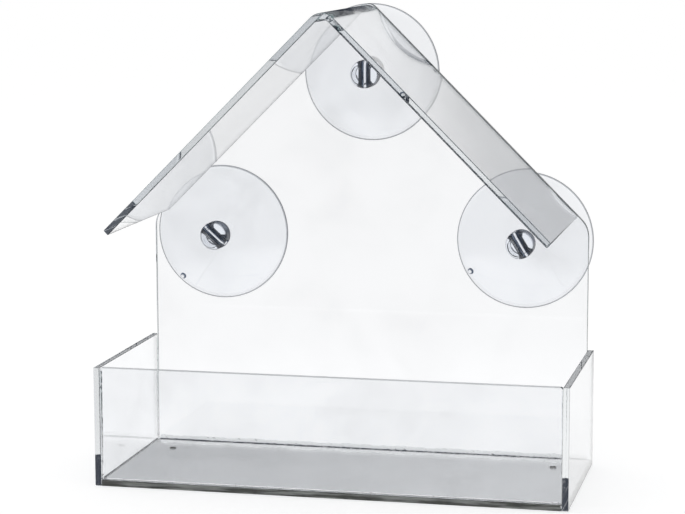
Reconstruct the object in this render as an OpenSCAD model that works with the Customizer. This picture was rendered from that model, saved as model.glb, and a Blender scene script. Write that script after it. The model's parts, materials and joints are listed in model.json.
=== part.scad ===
// Window bird feeder: a seed tray and a gabled back panel of clear sheet, with a bent roof strip, held to a
// window by three clear suction cups.
// Frame: +X to the right of someone who faces the tray, +Y towards the window, +Z up.
// Origin: centre of the bottom of the whole feeder, cups included.

/* [Sheet] */
// Thickness of every clear sheet
sheet_t = 2; // [1.8:0.1:2.5]

/* [Tray] */
// Outer width across the side walls
tray_w = 150; // [140:1:170]
// Outer depth from the front sheet to the back of the back panel
tray_d = 62; // [50:1:80]
// Height of the side walls and of the front panel's top edge
tray_h = 38; // [25:1:45]
// Rounding of the front panel's two top corners
front_corner_r = 0.8; // [0.5:0.1:3]
// Diameter of the drain holes in the floor
drain_d = 2; // [1.5:0.1:4]
// Distance of a drain hole's centre from the side wall
drain_from_wall = 9; // [5:1:20]
// Distance of a drain hole's centre from the back panel
drain_from_back = 12; // [5:1:20]

/* [Back panel and roof] */
// Height at which the two roof slopes would meet if the ridge were sharp
gable_peak_z = 151.5; // [148:0.5:152]
// Rounding of the back panel's peak
peak_r = 4; // [1:0.5:6]
// Rounding of the back panel's two shoulders
shoulder_r = 8; // [4:0.5:10]
// Outer radius of the roof's bend at the ridge
ridge_r = 5; // [4:0.5:8]
// Half of the width across the eaves
eave_x = 69.5; // [66:0.5:70]
// How far the roof stands out in front of the tray
roof_overhang = 4; // [0:1:12]

/* [Suction cups] */
// Diameter of a cup's rim
cup_d = 45; // [40:1:46]
// Distance from the back panel to the window
cup_reach = 6.5; // [6:0.1:8]
// Sideways place of the left and right cups
side_cup_x = 51.3; // [46:0.1:52]
// Height of the left and right cups
side_cup_z = 72.8; // [64:0.1:74]
// Height of the top cup
top_cup_z = 127.2; // [124:0.1:128]
// Diameter of a cup's neck
neck_d = 6.5; // [5:0.1:8]
// Diameter of a cup's head, in front of the back panel
head_d = 9.2; // [8.8:0.1:12]
// Height of a cup's head
head_h = 6; // [5:0.1:7]
// Diameter of the hole across a cup's head
cross_hole_d = 4; // [2:0.1:4.4]
// Direction of the top cup's moulding pip, anticlockwise from +X as seen from the front
top_cup_turn = 0; // [0:1:359]
// Direction of the left cup's moulding pip
left_cup_turn = 228; // [0:1:359]
// Direction of the right cup's moulding pip
right_cup_turn = 211; // [0:1:359]

/* [Hidden] */
$fn = 96;
arc_steps = 16;

clear_sheet = [0.86, 0.90, 0.92, 0.45];
clear_soft = [0.78, 0.83, 0.88, 0.60];

// Planes across the depth
overall_d = roof_overhang + tray_d + cup_reach;
roof_front = -overall_d / 2;
tray_front = roof_front + roof_overhang;
panel_back = tray_front + tray_d;
panel_front = panel_back - sheet_t;

inner_w = tray_w - 2 * sheet_t;
drain_x = inner_w / 2 - drain_from_wall;
drain_y = panel_front - drain_from_back;

// Gable lines run at 45 degrees, so an arc of radius r that touches both has its centre r * sqrt(2) below
// the point where they meet.
diagonal = sqrt(2);
shoulder_z = gable_peak_z - inner_w / 2 - shoulder_r * (diagonal - 1);

// A cup's profile is drawn as radius and depth. Depth 0 is the back panel's front face, and it grows
// towards the window.
neck_play = 0.05;
face_play = 0.2;
cup_r = cup_d / 2;
neck_r = neck_d / 2;
head_r = head_d / 2;
head_round = 1.5;
head_bevel = 0.4;
head_front = -face_play - head_h;
head_corner = [head_r - head_round, head_front + head_round];
dish_front = sheet_t + face_play;
rim_depth = sheet_t + cup_reach;
rim_face_w = 1.5;
rim_edge_t = 1.2;
hollow_depth = 4.6;
cross_hole_depth = -face_play - head_h / 2;
pip_d = 2.1;
pip_height = 0.8;
pip_at_r = 20.6;

function reversed(points) = [for (i = [len(points) - 1 : -1 : 0]) points[i]];
// Points along a flat arc, with angles anticlockwise from the first axis
function arc(centre, radius, from, to) =
    [
        for (i = [0 : arc_steps])
            let (angle = from + (to - from) * i / arc_steps)
            centre + radius * [cos(angle), sin(angle)]
    ];
// Sphere centred on the cup's axis that passes through two rings, each given as radius and depth
function sphere_centre(a, b) =
    (b[0] * b[0] - a[0] * a[0] + b[1] * b[1] - a[1] * a[1]) / (2 * (b[1] - a[1]));
function sphere_arc(a, b) =
    let (
        centre = sphere_centre(a, b),
        radius = norm([a[0], a[1] - centre]),
        from = asin(a[0] / radius),
        to = asin(b[0] / radius)
    )
    [
        for (i = [0 : arc_steps])
            let (angle = from + (to - from) * i / arc_steps)
            [radius * sin(angle), centre - radius * cos(angle)]
    ];

dish_inner_ring = [head_r, dish_front];
dish_outer_ring = [cup_r, rim_depth - rim_edge_t];
hollow_centre = [0, rim_depth - hollow_depth];
hollow_ring = [cup_r - rim_face_w, rim_depth];
cup_profile = concat(
    [[0, head_front]],
    arc(head_corner, head_round, -90, 0),
    [
        [head_r, -face_play - head_bevel],
        [head_r - head_bevel, -face_play],
        [neck_r, -face_play],
        [neck_r, dish_front]
    ],
    sphere_arc(dish_inner_ring, dish_outer_ring),
    [[cup_r, rim_depth]],
    reversed(sphere_arc(hollow_centre, hollow_ring))
);
dish_centre = sphere_centre(dish_inner_ring, dish_outer_ring);
dish_radius = norm([head_r, dish_front - dish_centre]);
pip_base = dish_centre - sqrt(dish_radius * dish_radius - pip_at_r * pip_at_r);

// Stands a flat outline, drawn in X and Z, up as a layer that starts at depth y
module upright(y, thickness) {
    translate([0, y + thickness, 0])
        rotate([90, 0, 0])
            linear_extrude(thickness)
                children();
}

module gable_outline() {
    half_w = inner_w / 2;
    shoulder_leg = shoulder_r / diagonal;
    peak_leg = peak_r / diagonal;
    shoulder_x = half_w - shoulder_r;
    peak_z = gable_peak_z - peak_r * diagonal;
    right_side = [
        [half_w, 0],
        [half_w, shoulder_z],
        [shoulder_x + shoulder_leg, shoulder_z + shoulder_leg],
        [peak_leg, peak_z + peak_leg]
    ];
    left_side = [for (p = reversed(right_side)) [-p[0], p[1]]];
    polygon(concat(right_side, left_side));
    translate([0, peak_z])
        circle(peak_r);
    for (side = [-1, 1])
        translate([side * shoulder_x, shoulder_z])
            circle(shoulder_r);
}

module roof_outline() {
    bend_centre = [0, gable_peak_z - ridge_r * diagonal];
    eave_z = gable_peak_z - eave_x;
    end_leg = sheet_t / diagonal;
    polygon(concat(
        [[eave_x - end_leg, eave_z - end_leg], [eave_x, eave_z]],
        arc(bend_centre, ridge_r, 45, 135),
        [[-eave_x, eave_z], [end_leg - eave_x, eave_z - end_leg]],
        arc(bend_centre, ridge_r - sheet_t, 135, 45)
    ));
}

module front_outline() {
    half_w = inner_w / 2;
    corner_x = half_w - front_corner_r;
    corner_z = tray_h - front_corner_r;
    polygon([
        [half_w, sheet_t],
        [half_w, corner_z],
        [corner_x, tray_h],
        [-corner_x, tray_h],
        [-half_w, corner_z],
        [-half_w, sheet_t]
    ]);
    for (side = [-1, 1])
        translate([side * corner_x, corner_z])
            circle(front_corner_r);
}

module side_wall(side) {
    wall_x = side * (tray_w - sheet_t) / 2;
    translate([wall_x - sheet_t / 2, tray_front, 0])
        cube([sheet_t, tray_d, tray_h]);
}

module cup_hole(x, z) {
    translate([x, panel_front - sheet_t, z])
        rotate([-90, 0, 0])
            cylinder(r = neck_r + neck_play, h = 3 * sheet_t);
}

// One cup on the panel's hole at x and z, with its pip turned to the given direction
module suction_cup(x, z, turn) {
    translate([x, panel_front, z])
        rotate([0, -turn, 0])
            rotate([-90, 0, 0]) {
                difference() {
                    rotate_extrude()
                        polygon(cup_profile);
                    translate([0, 0, cross_hole_depth])
                        rotate([90, 0, 0])
                            cylinder(d = cross_hole_d, h = 2 * head_d, center = true);
                }
                translate([pip_at_r, 0, pip_base - pip_height])
                    cylinder(d = pip_d, h = 2 * pip_height);
            }
}

module back_panel() {
    color(clear_sheet)
        difference() {
            upright(panel_front, sheet_t)
                gable_outline();
            cup_hole(0, top_cup_z);
            cup_hole(-side_cup_x, side_cup_z);
            cup_hole(side_cup_x, side_cup_z);
        }
}

module roof() {
    color(clear_sheet)
        upright(roof_front, panel_front - roof_front)
            roof_outline();
}

module floor_panel() {
    color(clear_sheet)
        difference() {
            translate([-inner_w / 2, tray_front, 0])
                cube([inner_w, tray_d - sheet_t, sheet_t]);
            for (side = [-1, 1])
                translate([side * drain_x, drain_y, -sheet_t])
                    cylinder(d = drain_d, h = 3 * sheet_t);
        }
}

module front_panel() {
    color(clear_sheet)
        upright(tray_front, sheet_t)
            front_outline();
}

module left_side_panel() {
    color(clear_sheet)
        side_wall(-1);
}

module right_side_panel() {
    color(clear_sheet)
        side_wall(1);
}

module suction_cup_top() {
    color(clear_soft)
        suction_cup(0, top_cup_z, top_cup_turn);
}

module suction_cup_left() {
    color(clear_soft)
        suction_cup(-side_cup_x, side_cup_z, left_cup_turn);
}

module suction_cup_right() {
    color(clear_soft)
        suction_cup(side_cup_x, side_cup_z, right_cup_turn);
}

back_panel();
roof();
floor_panel();
front_panel();
left_side_panel();
right_side_panel();
suction_cup_top();
suction_cup_left();
suction_cup_right();
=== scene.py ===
"""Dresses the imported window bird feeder: clear welded sheets, a bent roof strip and soft suction cups."""

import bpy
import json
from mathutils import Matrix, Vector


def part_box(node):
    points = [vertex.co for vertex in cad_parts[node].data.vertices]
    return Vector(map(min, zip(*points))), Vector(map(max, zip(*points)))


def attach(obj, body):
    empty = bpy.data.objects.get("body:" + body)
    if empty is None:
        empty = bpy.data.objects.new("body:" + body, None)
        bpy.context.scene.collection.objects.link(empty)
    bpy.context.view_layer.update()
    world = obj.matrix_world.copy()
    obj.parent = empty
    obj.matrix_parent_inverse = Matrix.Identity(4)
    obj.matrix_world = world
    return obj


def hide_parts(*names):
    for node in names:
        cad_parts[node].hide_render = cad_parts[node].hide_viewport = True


bl_info = {
    "name": "Window Bird Feeder",
    "version": (1, 0, 0),
    "blender": (4, 5, 0),
    "location": "3D View > Sidebar > Bird Feeder",
    "description": "Builds the clear sheets, weld beads and suction cups of a window bird feeder",
    "category": "Object",
}

import json
import math

import bmesh
import bpy
import numpy as np
from bpy.props import FloatProperty, FloatVectorProperty, PointerProperty
from mathutils import Euler, Matrix
from mathutils.geometry import tessellate_polygon

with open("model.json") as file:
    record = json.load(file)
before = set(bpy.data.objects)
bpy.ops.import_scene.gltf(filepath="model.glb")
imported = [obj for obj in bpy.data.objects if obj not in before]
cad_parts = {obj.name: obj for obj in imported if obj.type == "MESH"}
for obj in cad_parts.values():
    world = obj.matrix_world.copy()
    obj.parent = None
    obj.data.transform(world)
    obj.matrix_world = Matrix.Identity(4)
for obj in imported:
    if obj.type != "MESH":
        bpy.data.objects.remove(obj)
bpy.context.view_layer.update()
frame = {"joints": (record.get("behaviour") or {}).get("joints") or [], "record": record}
BACK_LOW, BACK_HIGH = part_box("back_panel")
ROOF_LOW, ROOF_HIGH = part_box("roof")
FLOOR_LOW, FLOOR_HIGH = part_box("floor_panel")
FRONT_LOW, FRONT_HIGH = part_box("front_panel")
CUP_LOW, CUP_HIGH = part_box("suction_cup_top")

FEEDER_BODY = "feeder"
SHEET_SLOT = "acrylic"
CUP_SLOT = "soft_pvc"
# Photograph's frame, in pixels, and the camera's sensor, in millimetres
IMAGE_WIDTH = 685
SENSOR_WIDTH = 36.0
DIAGONAL = math.sqrt(2.0)
# Steps round a corner, over an eased edge, round a hole and round a cup
ARC_STEPS = 10
EASE_STEPS = 3
HOLE_STEPS = 64
CUP_STEPS = 128
# Points along the arcs of a cup's dish and hollow, and the shares of the arcs that the roundings leave
DISH_POINTS = 48
DISH_SHARES = (0.06, 0.94)
HOLLOW_POINTS = 64
HOLLOW_SHARES = (0.0, 0.96)
# Widest spacing of a cup's rings, and the angle above which its edges stay sharp
CUP_SPACING = 0.0006
SHARP_ANGLE = math.radians(32)
# Distance within which points merge, and the least height of a pip's face over the dish
MERGE_DISTANCE = 1e-7
MIN_RISE = 1e-5
# How far out, over its own radius, the middle of a hole's or a pip's face may lie
FACE_SLACK = 1.02
# Spacing of a weld bead's sections, and the wave lengths and shares by which its size wanders
BEAD_SPACING = 0.0003
BEAD_WAVES = ((0.0171, 0.08), (0.0063, 0.06), (0.0023, 0.05))
BEAD_PHASE = 0.013
BEAD_POWER = 1.8
# Painted shade on a cup, from none to full: over its hole's, pip's and head's radius, and in metres from its
# rim
HOLE_SHADE_SPAN = (0.26, 0.45)
PIP_SHADE_SPAN = (0.4, 0.7)
HEAD_SHADE_SPAN = (0.9, 0.97)
RIM_SHADE_SPAN = (0.0006, 0.0002)
HEAD_SHADE_LEVEL = 0.6
RIM_SHADE_LEVEL = 0.8
# How far a pip's spot without painted shade lies from its middle towards the rim, as a share of its radius
PIP_SPOT = 0.3
# Shades of a sheet's edge: sanded and clean, with no painted shade; painted shade with paler streaks; and
# painted shade without streaks, as in a drain hole
SANDED = -1.0
STREAKED_SHADE = 1.0
SOLID_SHADE = 2.0
# Painted shade on the back panel's bottom, right, right slope, left slope and left edges
BACK_SHADES = (0.0, 0.4, 0.8, 0.4, 0.4)
# Painted shade on the roof's bends, dark at the ridge, and on its front rims, dark on the underside
ROOF_BENDS = (0.0, 0.0, 0.53, 0.0, 0.0, 0.33)
ROOF_RIMS = (0.0, 0.0, 0.0, 0.0, 0.9, 0.9)
# Painted shade on the floor's front, right, back and left edges, streaked at the front
FLOOR_SHADES = (STREAKED_SHADE, 0.0, 0.0, 0.0)
# Shades of the front panel's bottom, right, top and left edges
FRONT_SHADES = (0.0, 0.0, SANDED, 0.0)
# Marks of a mesh's faces: cut edges, weld edges, and painted shade on the sheets and on the cups
CUT_MARK = "cut_edge"
WELD_MARK = "weld_edge"
SEAM_MARK = "seam_shade"
CUP_SHADE_MARK = "painted_cup_shade"
# Colours of the finishes and of the painted shade on sheet edges and cups, the last one for light that goes
# straight through a clear piece
WHITE = (1.0, 1.0, 1.0, 1.0)
BLACK = (0.0, 0.0, 0.0, 1.0)
FILM_TINT = (0.984, 0.99, 1.0, 1.0)
# Dark painted shade on a sheet's edge, and the paler colour of its streaks
SHADE_DARK = (0.014, 0.015, 0.011, 1.0)
SHADE_STREAK = (0.30, 0.31, 0.27, 1.0)
# Dark painted shade on a cup
CUP_SHADE_COLOUR = (0.022, 0.032, 0.055, 1.0)
STRAIGHT_TINT = (0.91, 0.915, 0.92, 1.0)
# Depths of the bumps of slow waves, cutter's marks and cement, in metres
WAVE_DEPTH = 0.0004
MARK_DEPTH = 0.000009
LUMP_DEPTH = 0.0001
# Rings of the stage's floor inside its outer one, and the glow that makes it white
FLOOR_RINGS = (0.0, 0.2, 1.0, 4.0)
FLOOR_GLOW = 0.36
# Soft edges of the lit floor that the plastic mirrors, in metres, and its brightness off and on a grey band
LIT_FRONT = (-0.22, -0.05)
LIT_SIDES = (0.2, 0.09)
LIT_SPREAD = 0.35
GREY_STARTS = (0.2, 0.35)
GREY_ENDS = (1.0, 0.7)
LIT_LEVELS = (0.96, 0.79)
# Soft edges of the backdrop that the plastic mirrors, as slopes from straight ahead, and its brightness
BACKDROP_BRIGHTENS = (0.155, 0.22)
BACKDROP_LEVELS = (0.34, 0.88)
BACKDROP_TOP = (0.25, 0.236)
BACKDROP_LEFT = (0.42, 0.17)
BACKDROP_LEAN = -2.0
BACKDROP_RIGHT = (0.45, 0.2)
LEAST_AHEAD = 0.05
# Faint light above the backdrop: its soft edges, the mirrorings after which it is gone, and its brightness
SPILL_LEFT = (-0.3, -0.11)
SPILL_RIGHT = (0.25, 0.1)
SPILL_MIRRORINGS = (3.0, 2.0)
SPILL_LEVEL = 0.25
# Mirrorings over which light fades inside the plastic
FADING_MIRRORINGS = (6.0, 14.0)
# Height, as a direction's upward part, over which what is seen through the plastic turns from dark to white
ROOM_STARTS = (0.6, 0.35)
# How often light may turn inside the plastic, and pass straight through it
BOUNCES = 32
TRANSPARENT_BOUNCES = 64


class FeederSheets(bpy.types.PropertyGroup):
    """Sizes of the clear sheets."""

    thickness: FloatProperty(
        name="Thickness", description="Thickness of every clear sheet",
        default=FRONT_HIGH.y - FRONT_LOW.y, unit="LENGTH")
    eased_edge: FloatProperty(
        name="Eased edge", description="Radius to which every cut edge is eased",
        default=0.00012, unit="LENGTH")
    roof_eased_edge: FloatProperty(
        name="Roof's eased edge", description="Radius to which the roof strip's ends are eased",
        default=0.0002, unit="LENGTH")
    corner_radius: FloatProperty(
        name="Corner radius", description="Rounding of a sheet's square corners",
        default=0.0003, unit="LENGTH")
    front_corner_radius: FloatProperty(
        name="Front corner radius", description="Rounding of the front panel's top corners",
        default=0.0008, unit="LENGTH")
    shoulder_radius: FloatProperty(
        name="Shoulder radius", description="Rounding of the back panel's shoulders",
        default=0.008, unit="LENGTH")
    peak_radius: FloatProperty(
        name="Peak radius", description="Rounding of the back panel's peak",
        default=0.004, unit="LENGTH")
    ridge_radius: FloatProperty(
        name="Ridge radius", description="Outer radius of the roof's bend",
        default=0.005, unit="LENGTH")
    weld_gap: FloatProperty(
        name="Weld gap", description="Air left at a weld so that no two faces coincide",
        default=0.00004, unit="LENGTH")
    bead_size: FloatProperty(
        name="Bead size", description="Leg of a weld bead along each sheet",
        default=0.00035, unit="LENGTH")
    back_bead_size: FloatProperty(
        name="Back bead size", description="Leg of the larger bead between the floor and the back panel",
        default=0.0013, unit="LENGTH")
    bead_inset: FloatProperty(
        name="Bead inset", description="How far a weld bead stops short of its seam's ends",
        default=0.0012, unit="LENGTH")
    cup_hole_radius: FloatProperty(
        name="Cup hole radius", description="Radius of the back panel's holes",
        default=0.0033, unit="LENGTH")
    drain_radius: FloatProperty(
        name="Drain radius", description="Radius of the floor's drain holes",
        default=0.001, unit="LENGTH")
    drain_from_wall: FloatProperty(
        name="Drain from wall", description="Distance of a drain hole from the side wall",
        default=0.009, unit="LENGTH")
    drain_from_back: FloatProperty(
        name="Drain from back", description="Distance of a drain hole from the back panel",
        default=0.012, unit="LENGTH")


class FeederCups(bpy.types.PropertyGroup):
    """Sizes of a suction cup, with depths counted from the back panel's front face."""

    rim_radius: FloatProperty(
        name="Rim radius", description="Radius of the cup's rim",
        default=(CUP_HIGH.z - CUP_LOW.z) / 2, unit="LENGTH")
    rim_depth: FloatProperty(
        name="Rim depth", description="Depth of the rim's face, which meets the window",
        default=CUP_HIGH.y - BACK_LOW.y, unit="LENGTH")
    rim_edge: FloatProperty(
        name="Rim edge", description="Thickness of the dish at its rim",
        default=0.0012, unit="LENGTH")
    rim_face: FloatProperty(
        name="Rim face", description="Width of the ring that meets the window",
        default=0.0015, unit="LENGTH")
    hollow: FloatProperty(
        name="Hollow", description="Depth of the hollow behind the dish",
        default=0.0046, unit="LENGTH")
    neck_radius: FloatProperty(
        name="Neck radius", description="Radius of the neck in the panel's hole",
        default=0.00325, unit="LENGTH")
    head_radius: FloatProperty(
        name="Head radius", description="Radius of the head in front of the panel",
        default=0.0046, unit="LENGTH")
    head_round: FloatProperty(
        name="Head rounding", description="Rounding of the head's front edge",
        default=0.0015, unit="LENGTH")
    face_play: FloatProperty(
        name="Face play", description="Air between the panel and the cup on each side",
        default=0.0002, unit="LENGTH")
    fillet: FloatProperty(
        name="Fillet", description="Rounding of the cup's small corners",
        default=0.0003, unit="LENGTH")
    rim_round: FloatProperty(
        name="Rim rounding", description="Rounding of the rim's two edges",
        default=0.00055, unit="LENGTH")
    cross_hole_radius: FloatProperty(
        name="Cross hole radius", description="Radius of the hole across the head",
        default=0.002, unit="LENGTH")
    pip_radius: FloatProperty(
        name="Pip radius", description="Radius of the moulding pip",
        default=0.00105, unit="LENGTH")
    pip_height: FloatProperty(
        name="Pip height", description="Height of the pip above the dish",
        default=0.0008, unit="LENGTH")
    pip_from_axis: FloatProperty(
        name="Pip from axis", description="Distance of the pip from the cup's axis",
        default=0.0206, unit="LENGTH")
    top_turn: FloatProperty(
        name="Top cup turn", description="Direction of the top cup's pip, from +X towards +Z",
        default=0.0, subtype="ANGLE")
    left_turn: FloatProperty(
        name="Left cup turn", description="Direction of the left cup's pip, from +X towards +Z",
        default=math.radians(228), subtype="ANGLE")
    right_turn: FloatProperty(
        name="Right cup turn", description="Direction of the right cup's pip, from +X towards +Z",
        default=math.radians(211), subtype="ANGLE")


class FeederFinish(bpy.types.PropertyGroup):
    """Colours and clarity of the two plastics."""

    sheet_colour: FloatVectorProperty(
        name="Sheet colour", description="Colour that a long way through the sheet takes on",
        default=(0.90, 0.93, 0.93), size=3, subtype="COLOR", min=0.0, max=1.0)
    sheet_density: FloatProperty(
        name="Sheet density", description="How strongly the sheet takes up light, per metre",
        default=8.0)
    sheet_ior: FloatProperty(
        name="Sheet refraction", description="Refractive index of the clear sheet", default=1.49)
    cup_colour: FloatVectorProperty(
        name="Cup colour", description="Colour that a long way through a cup takes on",
        default=(0.40, 0.55, 0.78), size=3, subtype="COLOR", min=0.0, max=1.0)
    cup_density: FloatProperty(
        name="Cup density", description="How strongly a cup takes up light, per metre",
        default=24.0)
    cup_ior: FloatProperty(
        name="Cup refraction", description="Refractive index of the soft cups", default=1.53)


class FeederStage(bpy.types.PropertyGroup):
    """Camera, floor and light."""

    camera_place: FloatVectorProperty(
        name="Camera place", description="Where the camera stands",
        default=(0.15761, -0.69572, 0.17712), size=3, subtype="XYZ", unit="LENGTH")
    camera_yaw: FloatProperty(
        name="Camera yaw", description="Turn of the camera about the upright axis",
        default=0.2256, subtype="ANGLE")
    camera_pitch: FloatProperty(
        name="Camera pitch", description="How far the camera looks down",
        default=0.1481, subtype="ANGLE")
    camera_roll: FloatProperty(
        name="Camera roll", description="Turn of the camera about its own line of sight",
        default=-0.0025, subtype="ANGLE")
    camera_focal: FloatProperty(
        name="Camera focal length", description="Focal length in pixels of the photograph",
        default=2268.2)
    floor_radius: FloatProperty(
        name="Floor radius", description="Radius of the pale floor", default=12.0, unit="LENGTH")
    floor_drop: FloatProperty(
        name="Floor drop", description="Air between the feeder and the floor",
        default=0.0003, unit="LENGTH")
    floor_colour: FloatVectorProperty(
        name="Floor colour", description="Colour of the pale floor",
        default=(0.8, 0.8, 0.8), size=3, subtype="COLOR", min=0.0, max=1.0)
    ambient: FloatProperty(
        name="Ambient light", description="Strength of the even light from all round", default=0.8)
    dark_colour: FloatVectorProperty(
        name="Room colour", description="Colour of the dark room that the plastic mirrors",
        default=(0.022, 0.029, 0.046), size=3, subtype="COLOR", min=0.0, max=1.0)
    lamp_power: FloatProperty(
        name="Lamp power", description="Power of the soft lamp overhead, in watts", default=0.5)
    lamp_size: FloatProperty(
        name="Lamp size", description="Side of the square lamp", default=0.6, unit="LENGTH")
    lamp_place: FloatVectorProperty(
        name="Lamp place", description="Where the lamp hangs",
        default=(-0.15, -0.1, 0.9), size=3, subtype="XYZ", unit="LENGTH")


class FeederSettings(bpy.types.PropertyGroup):
    """Everything that a user would change."""

    sheets: PointerProperty(type=FeederSheets)
    cups: PointerProperty(type=FeederCups)
    finish: PointerProperty(type=FeederFinish)
    stage: PointerProperty(type=FeederStage)


# Shapes

def rounded_corners(corners, radii):
    """One arc of points for each corner of a closed flat path, as an array of corner, step and coordinate.

    A corner where the path turns by an angle is cut back along both of its sides by the radius times the
    tangent of half that angle. The arc between the cuts has its centre one radius to the side that the path
    turns to.
    """
    corners = np.asarray(corners, float)
    radii = np.broadcast_to(np.asarray(radii, float), len(corners))
    arriving = corners - np.roll(corners, 1, axis=0)
    arriving /= np.linalg.norm(arriving, axis=1, keepdims=True)
    leaving = np.roll(arriving, -1, axis=0)
    cross = arriving[:, 0] * leaving[:, 1] - arriving[:, 1] * leaving[:, 0]
    turn = np.arctan2(cross, (arriving * leaving).sum(axis=1))
    start = corners - arriving * (radii * np.tan(np.abs(turn) / 2))[:, None]
    left = np.stack([-arriving[:, 1], arriving[:, 0]], axis=1)
    centre = start + left * (np.sign(turn) * radii)[:, None]
    spoke = start - centre
    first_angle = np.arctan2(spoke[:, 1], spoke[:, 0])
    angle = first_angle[:, None] + turn[:, None] * np.linspace(0.0, 1.0, ARC_STEPS + 1)
    circle = np.stack([np.cos(angle), np.sin(angle)], axis=-1)
    return centre[:, None, :] + radii[:, None, None] * circle


def rounded_line(corners, radii):
    """An open flat path with its inner corners rounded, worked out as rounded_corners does."""
    arcs = rounded_corners(corners, radii)[1:-1]
    return np.concatenate([corners[:1], arcs.reshape(-1, 2), corners[-1:]])


def round_hole(centre, radius):
    """A hole's outline: a circle run clockwise, so that the material lies on its left."""
    angle = np.linspace(0.0, -2.0 * np.pi, HOLE_STEPS, endpoint=False)
    return np.asarray(centre) + radius * np.stack([np.cos(angle), np.sin(angle)], axis=1)


def outward_normals(outline):
    """Mitred normals of a closed outline: the sum of two sides' unit normals over one plus their product."""
    side = np.roll(outline, -1, axis=0) - outline
    side /= np.linalg.norm(side, axis=1, keepdims=True)
    normal = np.stack([side[:, 1], -side[:, 0]], axis=1)
    earlier = np.roll(normal, 1, axis=0)
    return (normal + earlier) / (1.0 + (normal * earlier).sum(axis=1, keepdims=True))


def ring_grid(rows, columns, first):
    """Four-sided faces between neighbouring rows of a grid whose columns close into a ring."""
    row = first + np.arange(rows - 1)[:, None] * columns
    here = np.arange(columns)[None, :]
    beside = np.roll(here, -1, axis=1)
    corners = [row + here, row + beside, row + columns + beside, row + columns + here]
    return np.stack(corners, axis=-1).reshape(-1, 4)


def stand(flat, depth, axes):
    """Puts points drawn in a flat pair of axes at a depth along the third one."""
    points = np.empty(flat.shape[:-1] + (3,))
    points[..., axes[0]] = flat[..., 0]
    points[..., axes[1]] = flat[..., 1]
    points[..., axes[2]] = depth
    return points


# Meshes and pieces

def make_mesh(name, points, faces, smooth, marks=None):
    """A mesh from arrays, with doubles merged and every face turned outwards."""
    mesh = bpy.data.meshes.new(name)
    mesh.from_pydata(points.tolist(), [], faces)
    mesh.polygons.foreach_set("use_smooth", smooth)
    for mark, values in (marks or {}).items():
        layer = mesh.attributes.new(mark, "FLOAT", "FACE")
        layer.data.foreach_set("value", np.asarray(values, np.float32))
    shape = bmesh.new()
    shape.from_mesh(mesh)
    bmesh.ops.remove_doubles(shape, verts=shape.verts, dist=MERGE_DISTANCE)
    bmesh.ops.recalc_face_normals(shape, faces=shape.faces)
    shape.to_mesh(mesh)
    shape.free()
    return mesh


def add_piece(name, mesh, material, body, slot, *nodes):
    """Puts a mesh in the scene as a piece that rides on a body and stands for CAD nodes."""
    mesh.name = name
    mesh.materials.clear()
    mesh.materials.append(material)
    piece = bpy.data.objects.new(name, mesh)
    bpy.context.scene.collection.objects.link(piece)
    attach(piece, body)
    if nodes:
        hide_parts(*nodes)


# Axes that a sheet is drawn in, then the axis of its thickness
UPRIGHT = (0, 2, 1)
LYING = (0, 1, 2)
SIDEWAYS = (1, 2, 0)


def edge_profile(near, far, ease):
    """A sheet's edge from its near face to its far one, as rows that lie so far in and so deep.

    It turns through a quarter round of the easing radius, runs along the edge and turns through a second
    quarter round on to the other face.
    """
    angle = np.linspace(0.0, np.pi / 2.0, EASE_STEPS + 1)
    inset = ease * (1.0 - np.sin(angle))
    run = ease * (1.0 - np.cos(angle))
    return np.concatenate([inset, inset[::-1]]), np.concatenate([near + run, far - run[::-1]])


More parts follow.
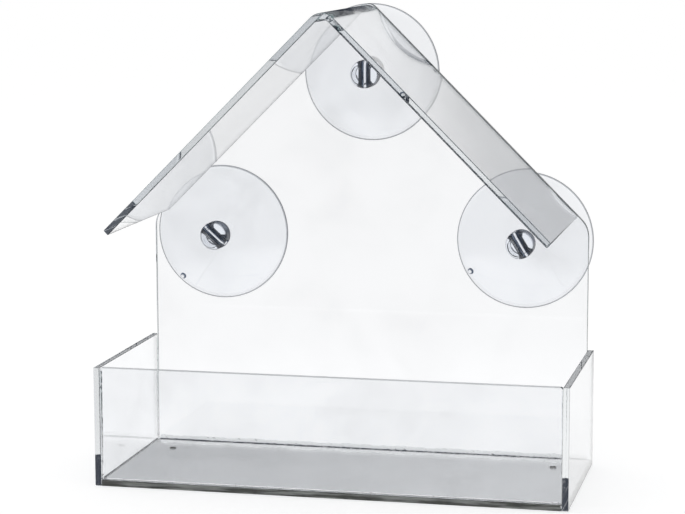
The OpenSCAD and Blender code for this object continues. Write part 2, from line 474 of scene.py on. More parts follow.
def sheet_mesh(
        name, corners, radii, span, axes, ease, faces_cut=False, sides_cut=1.0, holes=(), welded=(),
        shaded=0.0, shaded_bends=0.0, shaded_rims=0.0):
    """A sheet as an edge profile carried round its outline and its holes, closed by two flat faces.

    Each row of the profile is the outline moved in along its mitred normals. span is the depth of the two
    faces. sides_cut and welded say which sides of the outline are cut edges and weld seams. shaded,
    shaded_bends and shaded_rims say how much painted shade each side, the bend at its start and the eased
    rim of its near edge take. Holes take painted shade without streaks.
    """
    inset, depth = edge_profile(*span, ease)
    rows = len(depth)
    sides = len(corners)
    outline = rounded_corners(corners, radii).reshape(-1, 2)
    straight = np.tile(np.arange(ARC_STEPS + 1) == ARC_STEPS, sides)
    is_welded = np.isin(np.arange(sides), welded)
    cut, weld, side, bend, rim = (
        np.repeat(np.broadcast_to(share, sides), ARC_STEPS + 1)
        for share in (sides_cut, is_welded, shaded, shaded_bends, shaded_rims))
    # Painted shade of the edge's faces: by side, at bends and on near rims; holes take it without streaks
    shade = np.tile(np.where(straight, side, np.maximum(side, bend)), (rows - 1, 1))
    shade[:EASE_STEPS] = np.where(rim > 0.0, rim, shade[:EASE_STEPS])
    loops = [(outline, straight, cut, weld, shade)]
    loops += [(hole, np.zeros(len(hole), bool), 1.0, 0.0, SOLID_SHADE) for hole in holes]

    points, quads, smooth, rims, near_ids, far_ids = [], [], [], [], [], []
    marked = {CUT_MARK: [], WELD_MARK: [], SEAM_MARK: []}
    first = 0
    for loop, is_straight, *shares in loops:
        count = len(loop)
        flat = loop - inset[:, None, None] * outward_normals(loop)
        points.append(stand(flat, depth[:, None], axes).reshape(-1, 3))
        quads.append(ring_grid(rows, count, first))
        curved = np.ones((rows - 1, count), bool)
        curved[EASE_STEPS] = ~is_straight
        smooth.append(curved.reshape(-1))
        for faces, share in zip(marked.values(), shares):
            faces.append(np.broadcast_to(share, (rows - 1, count)).reshape(-1))
        rims.append(np.pad(flat[0], ((0, 0), (0, 1))).tolist())
        near_ids.append(first + np.arange(count))
        far_ids.append(near_ids[-1] + (rows - 1) * count)
        first += rows * count

    triangles = np.array(tessellate_polygon(rims))
    caps = np.concatenate([np.concatenate(ids)[triangles] for ids in (near_ids, far_ids)])
    flat_shares = {CUT_MARK: float(faces_cut), WELD_MARK: 0.0, SEAM_MARK: 0.0}
    marks = {
        mark: np.concatenate(shares + [np.full(len(caps), flat_shares[mark])])
        for mark, shares in marked.items()}
    faces = np.concatenate(quads).tolist() + caps.tolist()
    smooth = np.concatenate(smooth + [np.zeros(len(caps), bool)])
    return make_mesh(name, np.concatenate(points), faces, smooth, marks)


def turned_mesh(name, profile, steps):
    """A surface of revolution: each profile point, a radius and a depth, runs a full circle round the axis.

    The axis is +Z, the depth is along it, and points on the axis merge into closed poles.
    """
    angle = np.linspace(0.0, 2.0 * np.pi, steps, endpoint=False)
    radius = profile[:, 0][:, None]
    points = np.empty((len(profile), steps, 3))
    points[..., 0] = radius * np.cos(angle)
    points[..., 1] = radius * np.sin(angle)
    points[..., 2] = profile[:, 1][:, None]
    faces = ring_grid(len(profile), steps, 0)
    return make_mesh(name, points.reshape(-1, 3), faces.tolist(), np.ones(len(faces), bool))


def finely_spaced(path, spacing):
    """The same flat path with points added along its sides, no further apart than the spacing."""
    step = np.linalg.norm(np.diff(path, axis=0), axis=1)
    length = np.concatenate([[0.0], np.cumsum(step)])
    stops = np.concatenate([length, np.arange(0.0, length[-1], spacing)])
    stops = np.unique(np.round(stops, 7))
    return np.stack([np.interp(stops, length, path[:, 0]), np.interp(stops, length, path[:, 1])], axis=1)


def combined(name, mesh, others):
    """The mesh after each other mesh has been cut out of it or joined to it by an exact Boolean."""
    base = bpy.data.objects.new(name, mesh)
    bpy.context.scene.collection.objects.link(base)
    tools = []
    for operation, other in others:
        tool = bpy.data.objects.new(name, other)
        bpy.context.scene.collection.objects.link(tool)
        step = base.modifiers.new(operation, "BOOLEAN")
        step.operation = operation
        step.solver = "EXACT"
        step.object = tool
        tools.append(tool)
    bpy.context.view_layer.update()
    graph = bpy.context.evaluated_depsgraph_get()
    result = bpy.data.meshes.new_from_object(base.evaluated_get(graph))
    for thing in [base] + tools:
        bpy.data.objects.remove(thing)
    return result


# Finishes

def feed(tree, node, inputs):
    """Feeds a node's named or numbered inputs, each by a link from an output or with a plain value."""
    for key, value in inputs.items():
        if isinstance(value, bpy.types.NodeSocket):
            tree.links.new(value, node.inputs[key])
        else:
            node.inputs[key].default_value = value


def node_at(tree, kind, inputs, **properties):
    """A new node with its properties set and its inputs fed."""
    node = tree.nodes.new(kind)
    for key, value in properties.items():
        setattr(node, key, value)
    feed(tree, node, inputs)
    return node


def mapped(tree, value, start, stop, low=0.0, high=1.0, easing="LINEAR"):
    """The output of a node that turns start into low and stop into high, and holds them beyond."""
    if start > stop:
        start, stop, low, high = stop, start, high, low
    inputs = {"Value": value, "From Min": start, "From Max": stop, "To Min": low, "To Max": high}
    return node_at(tree, "ShaderNodeMapRange", inputs, interpolation_type=easing).outputs["Result"]


def eased_step(tree, value, start, stop, low=0.0, high=1.0):
    """The output of a node that goes smoothly from low at start to high at stop."""
    return mapped(tree, value, start, stop, low, high, "SMOOTHSTEP")


def worked_out(tree, operation, first, *others):
    """The output of a row of nodes that work a value together with each of the others in turn."""
    result = first
    for other in others:
        result = node_at(tree, "ShaderNodeMath", {0: result, 1: other}, operation=operation).outputs[0]
    return result


def added_share(tree, base, value, share):
    """The output of a node that adds a share of a value to a base."""
    inputs = {0: value, 1: share, 2: base}
    return node_at(tree, "ShaderNodeMath", inputs, operation="MULTIPLY_ADD").outputs[0]


def mixed(tree, factor, first, second, **properties):
    """The output of a node that blends two colours, or two numbers where data_type is FLOAT."""
    properties = {"data_type": "RGBA", **properties}
    inputs = {"Factor": factor, "A": first, "B": second}
    return node_at(tree, "ShaderNodeMix", inputs, **properties).outputs["Result"]


def shown_instead(tree, share, first, second):
    """The output of a node that shows a second shader in place of the first one by a share."""
    return node_at(tree, "ShaderNodeMixShader", {0: share, 1: first, 2: second}).outputs[0]


def noise(tree, place, scale, detail, roughness=0.5, distortion=0.0):
    """The output of a node that makes cloudy noise."""
    inputs = {
        "Vector": place, "Scale": scale, "Detail": detail, "Roughness": roughness, "Distortion": distortion}
    return node_at(tree, "ShaderNodeTexNoise", inputs).outputs["Fac"]


def bumped(tree, height, depth, strength=1.0, **below):
    """The normal that bumps of a depth give, laid over any normal below them."""
    inputs = {"Height": height, "Distance": depth, "Strength": strength, **below}
    return node_at(tree, "ShaderNodeBump", inputs).outputs["Normal"]


def face_mark(tree, mark):
    """The output of a node that reads a mark of the mesh's faces."""
    return node_at(tree, "ShaderNodeAttribute", {}, attribute_name=mark).outputs["Fac"]


def effect(tree, group, **inputs):
    """The outputs of a shared effect placed in a material, with its own inputs."""
    return node_at(tree, "ShaderNodeGroup", inputs, node_tree=group).outputs


def effect_group(name, **inputs):
    """A new node group that puts out a tint, a roughness and a height, with its inputs and its last node."""
    group = bpy.data.node_groups.new(name, "ShaderNodeTree")
    for label, default in inputs.items():
        socket = group.interface.new_socket(label, in_out="INPUT", socket_type="NodeSocketFloat")
        socket.default_value = default
    for label, kind in (("Tint", "Color"), ("Roughness", "Float"), ("Height", "Float")):
        group.interface.new_socket(label, in_out="OUTPUT", socket_type="NodeSocket" + kind)
    return group, group.nodes.new("NodeGroupInput").outputs, group.nodes.new("NodeGroupOutput")


def handled_film_group():
    """Faint smudges of a handled clear surface: a tint, a roughness and a slow waviness of the sheet."""
    name = "Handled Film"
    if name in bpy.data.node_groups:
        return bpy.data.node_groups[name]
    group, entry, leave = effect_group(name, Film=0.05, Haze=0.02)
    place = group.nodes.new("ShaderNodeTexCoord").outputs["Object"]
    smudge = noise(group, place, scale=38.0, detail=5.0, roughness=0.62, distortion=0.6)
    patch = eased_step(group, smudge, start=0.42, stop=0.72)
    film = worked_out(group, "MULTIPLY", patch, entry["Film"])
    feed(group, leave, {
        "Tint": mixed(group, film, FILM_TINT, BLACK),
        "Roughness": worked_out(group, "MULTIPLY", patch, entry["Haze"]),
        "Height": noise(group, place, scale=16.0, detail=1.0),
    })
    return group


def cut_marks_and_shade_group():
    """Fine marks of a cutter on a sheet's edge, bubbles at its welds, and painted shade with paler streaks
    where an edge is shaded.
    """
    name = "Cut Marks"
    if name in bpy.data.node_groups:
        return bpy.data.node_groups[name]
    group, entry, leave = effect_group(name, Weld=0.0, Shade=0.0)
    shade = entry["Shade"]
    place = group.nodes.new("ShaderNodeTexCoord").outputs["Object"]
    marks = noise(group, place, scale=420.0, detail=3.0, roughness=0.6, distortion=0.4)
    cells = node_at(group, "ShaderNodeTexVoronoi", {"Vector": place, "Scale": 620.0}, feature="SMOOTH_F1")
    bubbles = eased_step(group, cells.outputs["Distance"], start=0.18, stop=0.42)
    scratched = mapped(group, marks, start=0.3, stop=0.7, low=0.0, high=0.03)
    shade_roughness = eased_step(group, shade, start=0.5, stop=STREAKED_SHADE, low=0.0, high=0.45)
    sanded = mapped(group, shade, start=SANDED, stop=0.0, low=0.6, high=0.0)
    stretched = node_at(group, "ShaderNodeMapping", {"Vector": place, "Scale": (60.0, 900.0, 900.0)})
    streaks = noise(group, stretched.outputs["Vector"], scale=1.0, detail=3.0, roughness=0.55)
    streaks = eased_step(group, streaks, start=0.42, stop=0.66)
    # Painted shade: dark, with paler streaks that fade out where the shade is solid
    streak_share = mapped(group, shade, start=STREAKED_SHADE, stop=SOLID_SHADE, low=1.0, high=0.0)
    shade_colour = mixed(group, worked_out(group, "MULTIPLY", streaks, streak_share), SHADE_DARK, SHADE_STREAK)
    feed(group, leave, {
        "Tint": mixed(group, shade, WHITE, shade_colour),
        "Roughness": worked_out(group, "ADD", scratched, shade_roughness, sanded),
        "Height": mixed(group, entry["Weld"], marks, bubbles, data_type="FLOAT"),
    })
    return group


def bare_tree(owner):
    """The emptied node tree of a material or a world."""
    owner.use_nodes = True
    owner.node_tree.nodes.clear()
    return owner.node_tree


def clear_plastic(name, ior, colour, density):
    """A clear plastic's bare material, with its tree and its Principled node.

    Rays from lamps and rays that leave the floor go straight through. Every other ray is bent and mirrored.
    """
    material = bpy.data.materials.new(name)
    tree = bare_tree(material)
    glass = node_at(tree, "ShaderNodeBsdfPrincipled", {"Transmission Weight": 1.0, "IOR": ior})
    through = node_at(tree, "ShaderNodeBsdfTransparent", {"Color": STRAIGHT_TINT}).outputs[0]
    path = tree.nodes.new("ShaderNodeLightPath").outputs
    for_floor = shown_instead(tree, path["Is Diffuse Ray"], glass.outputs[0], through)
    for_lamps = shown_instead(tree, path["Is Shadow Ray"], for_floor, through)
    body = node_at(tree, "ShaderNodeVolumeAbsorption", {"Color": (*colour, 1.0), "Density": density})
    node_at(tree, "ShaderNodeOutputMaterial", {"Surface": for_lamps, "Volume": body.outputs[0]})
    return material, tree, glass


def sheet_material(finish):
    """Clear sheet: a handled film on the faces, cutter's marks on the edges, bubbles at the welds, and
    painted shade where the faces are marked for it.
    """
    name = "clear_sheet"
    if name in bpy.data.materials:
        return bpy.data.materials[name]
    material, tree, glass = clear_plastic(
        name, finish.sheet_ior, finish.sheet_colour, finish.sheet_density)
    is_cut = face_mark(tree, CUT_MARK)
    film = effect(tree, handled_film_group())
    # Faces marked for it take painted shade, with the cutter's marks, from one shared group
    cut = effect(tree, cut_marks_and_shade_group(), Weld=face_mark(tree, WELD_MARK), Shade=face_mark(tree, SEAM_MARK))
    waves = bumped(tree, film["Height"], WAVE_DEPTH, strength=0.05)
    feed(tree, glass, {
        "Base Color": mixed(tree, 1.0, film["Tint"], cut["Tint"], blend_type="MULTIPLY"),
        "Roughness": mixed(tree, is_cut, film["Roughness"], cut["Roughness"], data_type="FLOAT"),
        "Normal": bumped(tree, cut["Height"], MARK_DEPTH, strength=is_cut, Normal=waves),
    })
    return material


def bead_material(finish):
    """Weld cement: the sheet's plastic with the small bubbles that it sets with."""
    name = "weld_cement"
    if name in bpy.data.materials:
        return bpy.data.materials[name]
    material, tree, glass = clear_plastic(
        name, finish.sheet_ior, finish.sheet_colour, finish.sheet_density)
    cement = effect(tree, cut_marks_and_shade_group(), Weld=1.0)
    feed(tree, glass, {
        "Base Color": cement["Tint"],
        "Roughness": cement["Roughness"],
        "Normal": bumped(tree, cement["Height"], LUMP_DEPTH),
    })
    return material


def cup_material(finish):
    """Soft clear moulding: a faint film, slow waves in its skin, and painted shade, rougher too, in the
    cross hole, on the pip and at the head's and rim's edges.
    """
    name = "soft_cup"
    if name in bpy.data.materials:
        return bpy.data.materials[name]
    material, tree, glass = clear_plastic(name, finish.cup_ior, finish.cup_colour, finish.cup_density)
    shade_share = face_mark(tree, CUP_SHADE_MARK)
    film = effect(tree, handled_film_group(), Film=0.05, Haze=0.03)
    feed(tree, glass, {
        "Base Color": mixed(tree, shade_share, film["Tint"], CUP_SHADE_COLOUR),
        "Roughness": added_share(tree, film["Roughness"], shade_share, share=0.5),
        "Normal": bumped(tree, film["Height"], WAVE_DEPTH, strength=0.1),
    })
    return material


# Operators

class FEEDER_OT_back_panel(bpy.types.Operator):
    """Builds the house-shaped back panel with its three cup holes"""

    bl_idname = "feeder.back_panel"
    bl_label = "Back panel"

    def execute(self, context):
        settings = context.scene.bird_feeder
        sheets = settings.sheets
        half = BACK_HIGH.x - sheets.weld_gap
        peak_z = BACK_HIGH.z + sheets.peak_radius * (DIAGONAL - 1.0)
        eave_z = peak_z - half
        corners = [
            (-half, BACK_LOW.z), (half, BACK_LOW.z), (half, eave_z), (0.0, peak_z), (-half, eave_z)]
        radii = [
            sheets.corner_radius, sheets.corner_radius, sheets.shoulder_radius, sheets.peak_radius,
            sheets.shoulder_radius]
        holes = [
            round_hole((joint["pos_m"][0], joint["pos_m"][2]), sheets.cup_hole_radius)
            for joint in frame["joints"]]
        mesh = sheet_mesh(
            "back_sheet", corners, radii, (BACK_LOW.y, BACK_HIGH.y), UPRIGHT, sheets.eased_edge,
            holes=holes, shaded=BACK_SHADES)
        add_piece("back_sheet", mesh, sheet_material(settings.finish), FEEDER_BODY, SHEET_SLOT, "back_panel")
        return {"FINISHED"}


class FEEDER_OT_roof(bpy.types.Operator):
    """Builds the roof, one strip bent along the ridge"""

    bl_idname = "feeder.roof"
    bl_label = "Roof"

    def execute(self, context):
        settings = context.scene.bird_feeder
        sheets = settings.sheets
        eave_x = ROOF_HIGH.x
        peak_z = ROOF_HIGH.z + sheets.ridge_radius * (DIAGONAL - 1.0)
        eave_z = peak_z - eave_x
        leg = sheets.thickness / DIAGONAL
        inner_peak_z = peak_z - sheets.thickness * DIAGONAL
        corners = [
            (eave_x - leg, eave_z - leg), (eave_x, eave_z), (0.0, peak_z), (-eave_x, eave_z),
            (leg - eave_x, eave_z - leg), (0.0, inner_peak_z)]
        small = sheets.corner_radius
        radii = [small, small, sheets.ridge_radius, small, small, sheets.ridge_radius - sheets.thickness]
        eave_ends = [1.0, 0.0, 0.0, 1.0, 0.0, 0.0]
        span = (ROOF_LOW.y, ROOF_HIGH.y - sheets.weld_gap)
        mesh = sheet_mesh(
            "roof_strip", corners, radii, span, UPRIGHT, sheets.roof_eased_edge, faces_cut=True,
            sides_cut=eave_ends, shaded_bends=ROOF_BENDS, shaded_rims=ROOF_RIMS)
        add_piece("roof_strip", mesh, sheet_material(settings.finish), FEEDER_BODY, SHEET_SLOT, "roof")
        return {"FINISHED"}


class FEEDER_OT_tray(bpy.types.Operator):
    """Builds the tray: its floor with two drain holes, its front and its two side walls"""

    bl_idname = "feeder.tray"
    bl_label = "Tray"

    def execute(self, context):
        settings = context.scene.bird_feeder
        sheets = settings.sheets
        material = sheet_material(settings.finish)
        gap = sheets.weld_gap
        ease = sheets.eased_edge
        small = sheets.corner_radius

        half = FLOOR_HIGH.x - gap
        front = FLOOR_LOW.y
        back = FLOOR_HIGH.y - gap
        drain_x = FLOOR_HIGH.x - sheets.drain_from_wall
        drain_y = FLOOR_HIGH.y - sheets.drain_from_back
        drains = [round_hole((side * drain_x, drain_y), sheets.drain_radius) for side in (-1, 1)]
        corners = [(-half, front), (half, front), (half, back), (-half, back)]
        mesh = sheet_mesh(
            "tray_floor", corners, small, (FLOOR_LOW.z, FLOOR_HIGH.z), LYING, ease, holes=drains,
            welded=(1, 2, 3), shaded=FLOOR_SHADES)
        add_piece("tray_floor", mesh, material, FEEDER_BODY, SHEET_SLOT, "floor_panel")

        low = FRONT_LOW.z + gap
        high = FRONT_HIGH.z
        corners = [(-half, low), (half, low), (half, high), (-half, high)]
        radii = [small, small, sheets.front_corner_radius, sheets.front_corner_radius]
        mesh = sheet_mesh(
            "tray_front", corners, radii, (FRONT_LOW.y, FRONT_HIGH.y), UPRIGHT, ease, welded=(0, 1, 3),
            shaded=FRONT_SHADES)
        add_piece("tray_front", mesh, material, FEEDER_BODY, SHEET_SLOT, "front_panel")

        for name, node in (("tray_wall_left", "left_side_panel"), ("tray_wall_right", "right_side_panel")):
            wall_low, wall_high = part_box(node)
            corners = [
                (wall_low.y, wall_low.z), (wall_high.y, wall_low.z), (wall_high.y, wall_high.z),
                (wall_low.y, wall_high.z)]
            mesh = sheet_mesh(name, corners, small, (wall_low.x, wall_high.x), SIDEWAYS, ease)
            add_piece(name, mesh, material, FEEDER_BODY, SHEET_SLOT, node)
        return {"FINISHED"}


def bead_mesh(name, start, end, first_leg, second_leg, size, gap, phase):
    """A bead of weld cement along an inner corner: a full fillet whose size wanders along the seam.

    The section is the corner, a leg along each sheet and a curve that bows out a little between the legs, on
    which the reaches are powers of an angle's cosine and sine. Its size at each place along the seam is the
    plain size times one plus a sum of three sine waves.
    """
    start, end = np.asarray(start, float), np.asarray(end, float)
    first_leg, second_leg = np.asarray(first_leg, float), np.asarray(second_leg, float)
    length = np.linalg.norm(end - start)
    along = np.linspace(0.0, length, int(length / BEAD_SPACING))
    wander = np.zeros_like(along)
    for wave_length, share in BEAD_WAVES:
        wander += share * np.sin(2.0 * np.pi * along / wave_length + phase / wave_length)
    leg = size * (1.0 + wander)
    angle = np.linspace(0.0, np.pi / 2.0, ARC_STEPS)
    reach_first = np.concatenate([[0.0], np.cos(angle) ** BEAD_POWER])
    reach_second = np.concatenate([[0.0], np.sin(angle) ** BEAD_POWER])
    spine = start + (end - start) * (along / length)[:, None] + gap * (first_leg + second_leg)
    section = reach_first[:, None] * first_leg + reach_second[:, None] * second_leg
    points = spine[:, None, :] + leg[:, None, None] * section[None, :, :]
    columns = len(section)
    sides = ring_grid(len(along), columns, 0)
    ends = [list(range(columns)), list(range((len(along) - 1) * columns, len(along) * columns))]
    smooth = np.ones((len(along) - 1, columns), bool)
    smooth[:, [0, -1]] = False
    smooth = np.concatenate([smooth.reshape(-1), [False, False]])
    return make_mesh(name, points.reshape(-1, 3), sides.tolist() + ends, smooth)


class FEEDER_OT_welds(bpy.types.Operator):
    """Lays beads of weld cement along the tray's inner corners"""

    bl_idname = "feeder.welds"
    bl_label = "Weld beads"

    def execute(self, context):
        settings = context.scene.bird_feeder
        sheets = settings.sheets
        material = bead_material(settings.finish)
        inset = sheets.bead_inset
        left, right = FLOOR_LOW.x, FLOOR_HIGH.x
        front, back = FRONT_HIGH.y, BACK_LOW.y
        base, top = FLOOR_HIGH.z, FRONT_HIGH.z
        upwards = (0, 0, 1)
        walls = (("left", left, (1, 0, 0)), ("right", right, (-1, 0, 0)))
        ends = (("front", front, (0, 1, 0)), ("back", back, (0, -1, 0)))
        seams = {}
        for wall, x, across in walls:
            seams["weld_floor_" + wall] = (x, front + inset, base), (x, back - inset, base), across, upwards
        for end, y, along in ends:
            seams["weld_floor_" + end] = (left + inset, y, base), (right - inset, y, base), along, upwards
        for end, y, along in ends:
            for wall, x, across in walls:
                seams["weld_" + end + "_" + wall] = (x, y, base + inset), (x, y, top - inset), across, along
        for number, (name, seam) in enumerate(seams.items()):
            size = sheets.back_bead_size if name == "weld_floor_back" else sheets.bead_size
            mesh = bead_mesh(name, *seam, size, sheets.weld_gap, number * BEAD_PHASE)
            add_piece(name, mesh, material, FEEDER_BODY, SHEET_SLOT)
        return {"FINISHED"}


class FEEDER_OT_cups(bpy.types.Operator):
    """Builds the three soft suction cups, each on its own hinge"""

    bl_idname = "feeder.cups"
    bl_label = "Suction cups"

    def execute(self, context):
        settings = context.scene.bird_feeder
        cups = settings.cups
        material = cup_material(settings.finish)
        mesh = cup_mesh(cups, settings.sheets.thickness)
        turns = {"cup_top": cups.top_turn, "cup_left": cups.left_turn, "cup_right": cups.right_turn}
        bodies = frame["record"]["behaviour"]["bodies"]
        for joint in frame["joints"]:
            body = joint["child"]
            x, _, z = joint["pos_m"]
            place = Matrix.Translation((x, BACK_LOW.y, z))
            place = place @ Matrix.Rotation(-turns[body], 4, "Y") @ Matrix.Rotation(-math.pi / 2.0, 4, "X")
            own = mesh.copy()
            own.transform(place)
            add_piece(body + "_moulding", own, material, body, CUP_SLOT, *bodies[body])
        bpy.data.meshes.remove(mesh)
        return {"FINISHED"}


def sphere_arc(inner, outer, shares):
    """Points on the sphere round the axis that passes two rings, each a radius and a depth.

    The sphere's centre stands on the axis as far from one ring as from the other, and the points stand at
    the given shares of the angle between the rings.
    """
    rise = outer[1] - inner[1]
    centre = (outer[0] ** 2 - inner[0] ** 2 + outer[1] ** 2 - inner[1] ** 2) / (2.0 * rise)
    radius = math.hypot(inner[0], inner[1] - centre)
    first = math.asin(inner[0] / radius)
    last = math.asin(outer[0] / radius)
    angle = first + (last - first) * np.asarray(shares)
    return np.stack([radius * np.sin(angle), centre - radius * np.cos(angle)], axis=1)


def cup_mesh(cups, panel):
    """One cup about the +Z axis, with depth 0 at the panel's front face and its pip towards +X.

    The profile runs from the head's front down its side, along the neck, out over the dish's front sphere to
    the rim, and back along the hollow's sphere to the axis. The hole across the head is cut and the domed
    pip joined afterwards.
    """
    head_front = CUP_LOW.y - BACK_LOW.y
    head_back = -cups.face_play
    dish_front = panel + cups.face_play
    dish_inner = (cups.head_radius, dish_front)
    dish_outer = (cups.rim_radius, cups.rim_depth - cups.rim_edge)
    hollow_inner = (0.0, cups.rim_depth - cups.hollow)
    hollow_outer = (cups.rim_radius - cups.rim_face, cups.rim_depth)
    dish = sphere_arc(dish_inner, dish_outer, np.linspace(*DISH_SHARES, DISH_POINTS))
    hollow = sphere_arc(hollow_inner, hollow_outer, np.linspace(*HOLLOW_SHARES, HOLLOW_POINTS))[::-1]
    head = [
        (0.0, head_front), (cups.head_radius, head_front), (cups.head_radius, head_back),
        (cups.neck_radius, head_back), (cups.neck_radius, dish_front), dish_inner, tuple(dish[0])]
    fillet = cups.fillet
    head_radii = [0.0, cups.head_round, fillet, fillet / 2, fillet / 2, fillet, 0.0]
    rim = [tuple(dish[-1]), dish_outer, (cups.rim_radius, cups.rim_depth), hollow_outer, tuple(hollow[0])]
    rim_radii = [0.0, cups.rim_round, cups.rim_round, fillet, 0.0]
    profile = np.concatenate([
        rounded_line(np.array(head), head_radii)[:-1], dish[:-1],
        rounded_line(np.array(rim), rim_radii)[:-1], hollow])
    turned = turned_mesh("cup", finely_spaced(profile, CUP_SPACING), CUP_STEPS)

    reach = 2.0 * cups.head_radius
    hole_profile = np.array([
        (0.0, -reach), (cups.cross_hole_radius, -reach), (cups.cross_hole_radius, reach), (0.0, reach)])
    hole = turned_mesh("hole", hole_profile, HOLE_STEPS)
    hole_depth = (head_front + head_back) / 2.0
    hole.transform(Matrix.Translation((0.0, 0.0, hole_depth)) @ Matrix.Rotation(math.pi / 2.0, 4, "X"))

    pip_base = np.interp(cups.pip_from_axis, dish[:, 0], dish[:, 1])
    angle = np.linspace(0.0, np.pi, 2 * ARC_STEPS + 1)
    pip_profile = np.stack([cups.pip_radius * np.sin(angle), -cups.pip_height * np.cos(angle)], axis=1)
    pip_profile[[0, -1], 0] = 0.0
    pip = turned_mesh("pip", pip_profile, HOLE_STEPS // 2)
    pip.transform(Matrix.Translation((cups.pip_from_axis, 0.0, pip_base)))
    mesh = combined("cup", turned, [("DIFFERENCE", hole), ("UNION", pip)])
    mesh.polygons.foreach_set("use_smooth", np.ones(len(mesh.polygons), bool))
    mesh.set_sharp_from_angle(angle=SHARP_ANGLE)
    # Painted shade on the cup's faces, kept as a face mark
    layer = mesh.attributes.new(CUP_SHADE_MARK, "FLOAT", "FACE")
    layer.data.foreach_set("value", painted_shade_shares(mesh, cups, hole_depth, dish).astype(np.float32))
    return mesh


def smooth_share(value, start, stop):
    """0 up to start and 1 from stop, with a cubic ease between them."""
    share = np.clip((value - start) / (stop - start), 0.0, 1.0)
    return share * share * (3.0 - 2.0 * share)


def painted_shade_shares(mesh, cups, hole_depth, dish):
    """How much painted shade each of a cup's faces takes, from 0 to 1.

    In the cross hole a face's share grows with its distance from the middle line, on the pip with its
    distance from a clear spot towards the rim, and on the head and the rim with its nearness to their edges.
    """
    centre = np.empty(3 * len(mesh.polygons))
    mesh.polygons.foreach_get("center", centre)
    x, y, z = centre.reshape(-1, 3).T
    from_axis = np.hypot(x, y)
    in_hole = np.hypot(x, z - hole_depth) < FACE_SLACK * cups.cross_hole_radius
    in_hole &= from_axis < cups.head_radius
    hole = smooth_share(np.abs(x) / cups.cross_hole_radius, *HOLE_SHADE_SPAN) * in_hole
    from_pip = np.hypot(x - cups.pip_from_axis, y) / cups.pip_radius
    from_spot = np.hypot(x - cups.pip_from_axis - PIP_SPOT * cups.pip_radius, y) / cups.pip_radius
    above_dish = np.interp(from_axis, dish[:, 0], dish[:, 1]) - z
    pip = smooth_share(from_spot, *PIP_SHADE_SPAN) * (from_pip < FACE_SLACK) * (above_dish > MIN_RISE)
    head = HEAD_SHADE_LEVEL * smooth_share(from_axis / cups.head_radius, *HEAD_SHADE_SPAN) * (z < 0.0)
    rim = RIM_SHADE_LEVEL * smooth_share(cups.rim_radius - from_axis, *RIM_SHADE_SPAN)
    return np.max([hole, pip, head, rim], axis=0)


class FEEDER_OT_stage(bpy.types.Operator):
    """Sets up the pale floor, the soft light, the world and the camera"""

    bl_idname = "feeder.stage"
    bl_label = "Stage"

    def execute(self, context):
        stage = context.scene.bird_feeder.stage
        add_floor(stage)
        set_world(context.scene, stage)
        add_lamp(context.scene, stage)
        add_camera(context.scene, stage)
        set_render_depth(context.scene)
        return {"FINISHED"}


def add_floor(stage):
    """A round floor just under the feeder: rings of points at growing radii."""
    rings = np.array([*FLOOR_RINGS, stage.floor_radius])
    profile = np.stack([rings, np.full(len(rings), -stage.floor_drop)], axis=1)
    mesh = turned_mesh("floor", profile, HOLE_STEPS)
    mesh.polygons.foreach_set("use_smooth", np.zeros(len(mesh.polygons), bool))
    mesh.materials.append(floor_material(stage))
    floor = bpy.data.objects.new("floor", mesh)
    bpy.context.scene.collection.objects.link(floor)


def faded(tree, path, value):
    """A value that falls to nothing as light is mirrored more and more often in the plastic."""
    return worked_out(
        tree, "MULTIPLY", value, mapped(tree, path["Glossy Depth"], *FADING_MIRRORINGS, low=1.0, high=0.0))


def floor_material(stage):
    """White to the camera and through the plastic, with the feeder's shadow.

    In the plastic's mirror images it is lit only behind the feeder, as a studio sweep is, and widens there.
    """
    material = bpy.data.materials.new("pale_floor")
    tree = bare_tree(material)
    path = tree.nodes.new("ShaderNodeLightPath").outputs
    seen = worked_out(tree, "MAXIMUM", path["Is Camera Ray"], path["Is Transmission Ray"])
    matt = node_at(tree, "ShaderNodeBsdfDiffuse", {"Color": (*stage.floor_colour, 1.0)})
    glow = node_at(tree, "ShaderNodeEmission", {"Strength": worked_out(tree, "MULTIPLY", seen, FLOOR_GLOW)})
    bright = node_at(tree, "ShaderNodeAddShader", {0: matt.outputs[0], 1: glow.outputs[0]})
    place = tree.nodes.new("ShaderNodeTexCoord").outputs["Object"]
    axes = node_at(tree, "ShaderNodeSeparateXYZ", {0: place}).outputs
    aside = node_at(tree, "ShaderNodeMath", {0: axes["X"]}, operation="ABSOLUTE").outputs[0]
    within = eased_step(tree, added_share(tree, aside, axes["Y"], -LIT_SPREAD), *LIT_SIDES)
    between = worked_out(
        tree, "MULTIPLY", eased_step(tree, axes["Y"], *GREY_STARTS), eased_step(tree, axes["Y"], *GREY_ENDS))
    level = mapped(tree, between, 0.0, 1.0, *LIT_LEVELS)
    lit = worked_out(tree, "MULTIPLY", eased_step(tree, axes["Y"], *LIT_FRONT), within, level)
    sweep = mixed(tree, faded(tree, path, lit), (*stage.dark_colour, 1.0), WHITE)
    mirrored = node_at(tree, "ShaderNodeEmission", {"Color": sweep})
    surface = shown_instead(tree, path["Glossy Depth"], bright.outputs[0], mirrored.outputs[0])
    node_at(tree, "ShaderNodeOutputMaterial", {"Surface": surface})
    return material


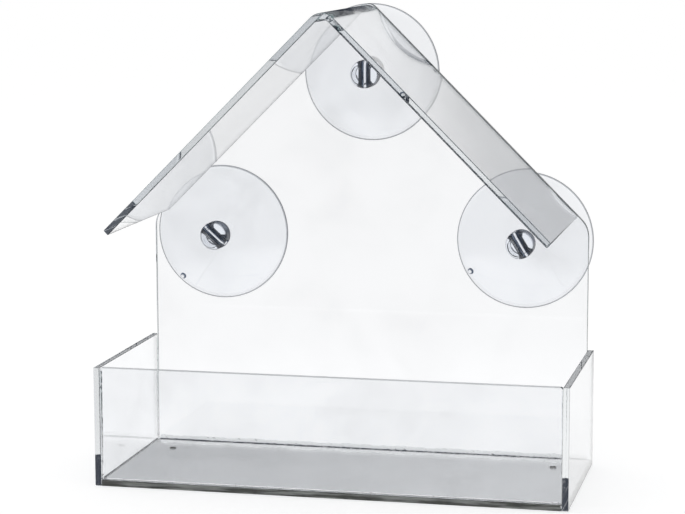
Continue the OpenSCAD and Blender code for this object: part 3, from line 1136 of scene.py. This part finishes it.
def set_world(scene, stage):
    """Even light, a white background, and for the plastic a white backdrop below a dark room."""
    world = bpy.data.worlds.new("studio")
    scene.world = world
    tree = bare_tree(world)
    dark = (*stage.dark_colour, 1.0)
    ambient = (stage.ambient, stage.ambient, stage.ambient, 1.0)
    path = tree.nodes.new("ShaderNodeLightPath").outputs
    place = tree.nodes.new("ShaderNodeTexCoord").outputs["Generated"]
    axes = node_at(tree, "ShaderNodeSeparateXYZ", {0: place}).outputs
    ahead = worked_out(tree, "MAXIMUM", axes["Y"], LEAST_AHEAD)
    side = worked_out(tree, "DIVIDE", axes["X"], ahead)
    rise = worked_out(tree, "DIVIDE", axes["Z"], ahead)
    leaning = worked_out(tree, "DIVIDE", added_share(tree, axes["Z"], axes["X"], BACKDROP_LEAN), ahead)
    backdrop = worked_out(
        tree, "MULTIPLY", eased_step(tree, rise, *BACKDROP_BRIGHTENS, *BACKDROP_LEVELS),
        eased_step(tree, leaning, *BACKDROP_LEFT), eased_step(tree, rise, *BACKDROP_TOP),
        eased_step(tree, side, *BACKDROP_RIGHT))
    spill = worked_out(
        tree, "MULTIPLY", eased_step(tree, rise, *BACKDROP_TOP[::-1]), eased_step(tree, side, *SPILL_LEFT),
        eased_step(tree, side, *SPILL_RIGHT), eased_step(tree, path["Glossy Depth"], *SPILL_MIRRORINGS))
    lit = faded(tree, path, added_share(tree, backdrop, spill, SPILL_LEVEL))
    mirrored = mixed(tree, lit, dark, WHITE)
    seen_through = mixed(tree, eased_step(tree, axes["Z"], *ROOM_STARTS), dark, WHITE)
    by_plastic = worked_out(tree, "MAXIMUM", path["Is Glossy Ray"], path["Is Transmission Ray"])
    plastic = mixed(tree, path["Glossy Depth"], seen_through, mirrored)
    unseen = mixed(tree, by_plastic, ambient, plastic)
    seen = mixed(tree, path["Is Camera Ray"], unseen, WHITE)
    light = node_at(tree, "ShaderNodeBackground", {"Color": seen})
    node_at(tree, "ShaderNodeOutputWorld", {"Surface": light.outputs[0]})


def add_lamp(scene, stage):
    """A square soft lamp that the plastic does not mirror."""
    data = bpy.data.lights.new("soft_lamp", "AREA")
    data.energy = stage.lamp_power
    data.size = stage.lamp_size
    lamp = bpy.data.objects.new("soft_lamp", data)
    lamp.location = stage.lamp_place
    lamp.visible_glossy = False
    lamp.visible_transmission = False
    lamp.visible_camera = False
    scene.collection.objects.link(lamp)


def add_camera(scene, stage):
    """The camera that the photograph's corners give, turned by yaw, pitch and roll."""
    data = bpy.data.cameras.new("camera")
    data.sensor_fit = "HORIZONTAL"
    data.sensor_width = SENSOR_WIDTH
    data.lens = stage.camera_focal / IMAGE_WIDTH * SENSOR_WIDTH
    data.clip_start = 0.01
    data.clip_end = 100.0
    camera = bpy.data.objects.new("camera", data)
    turn = Euler((math.pi / 2.0 - stage.camera_pitch, 0.0, stage.camera_yaw)).to_matrix().to_4x4()
    roll = Matrix.Rotation(stage.camera_roll, 4, "Z")
    camera.matrix_world = Matrix.Translation(stage.camera_place) @ turn @ roll
    scene.collection.objects.link(camera)
    scene.camera = camera


def set_render_depth(scene):
    """Plain colours, and enough bounces for light that runs inside a sheet to come out of its edges."""
    scene.view_settings.view_transform = "Standard"
    scene.cycles.max_bounces = BOUNCES
    scene.cycles.glossy_bounces = BOUNCES
    scene.cycles.transmission_bounces = BOUNCES
    scene.cycles.transparent_max_bounces = TRANSPARENT_BOUNCES
    scene.cycles.caustics_reflective = False
    scene.cycles.caustics_refractive = False


class FEEDER_PT_sidebar(bpy.types.Panel):
    """Lists the feeder's settings and the steps that build it"""

    bl_idname = "FEEDER_PT_sidebar"
    bl_label = "Bird Feeder"
    bl_space_type = "VIEW_3D"
    bl_region_type = "UI"
    bl_category = "Bird Feeder"

    def draw(self, context):
        settings = context.scene.bird_feeder
        for label, group in (
                ("Sheets", settings.sheets), ("Cups", settings.cups), ("Finish", settings.finish),
                ("Stage", settings.stage)):
            box = self.layout.box()
            box.label(text=label)
            for name in group.__annotations__:
                box.prop(group, name)
        for operator in OPERATORS:
            self.layout.operator(operator.bl_idname)


OPERATORS = (
    FEEDER_OT_stage, FEEDER_OT_back_panel, FEEDER_OT_roof, FEEDER_OT_tray, FEEDER_OT_welds,
    FEEDER_OT_cups)
CLASSES = (
    FeederSheets, FeederCups, FeederFinish, FeederStage, FeederSettings, *OPERATORS, FEEDER_PT_sidebar)


def register():
    for cls in CLASSES:
        bpy.utils.register_class(cls)
    bpy.types.Scene.bird_feeder = PointerProperty(type=FeederSettings)


def unregister():
    del bpy.types.Scene.bird_feeder
    for cls in reversed(CLASSES):
        bpy.utils.unregister_class(cls)


def main():
    register()
    bpy.ops.feeder.stage()
    bpy.ops.feeder.back_panel()
    bpy.ops.feeder.roof()
    bpy.ops.feeder.tray()
    bpy.ops.feeder.welds()
    bpy.ops.feeder.cups()


if __name__ == "__main__":
    main()
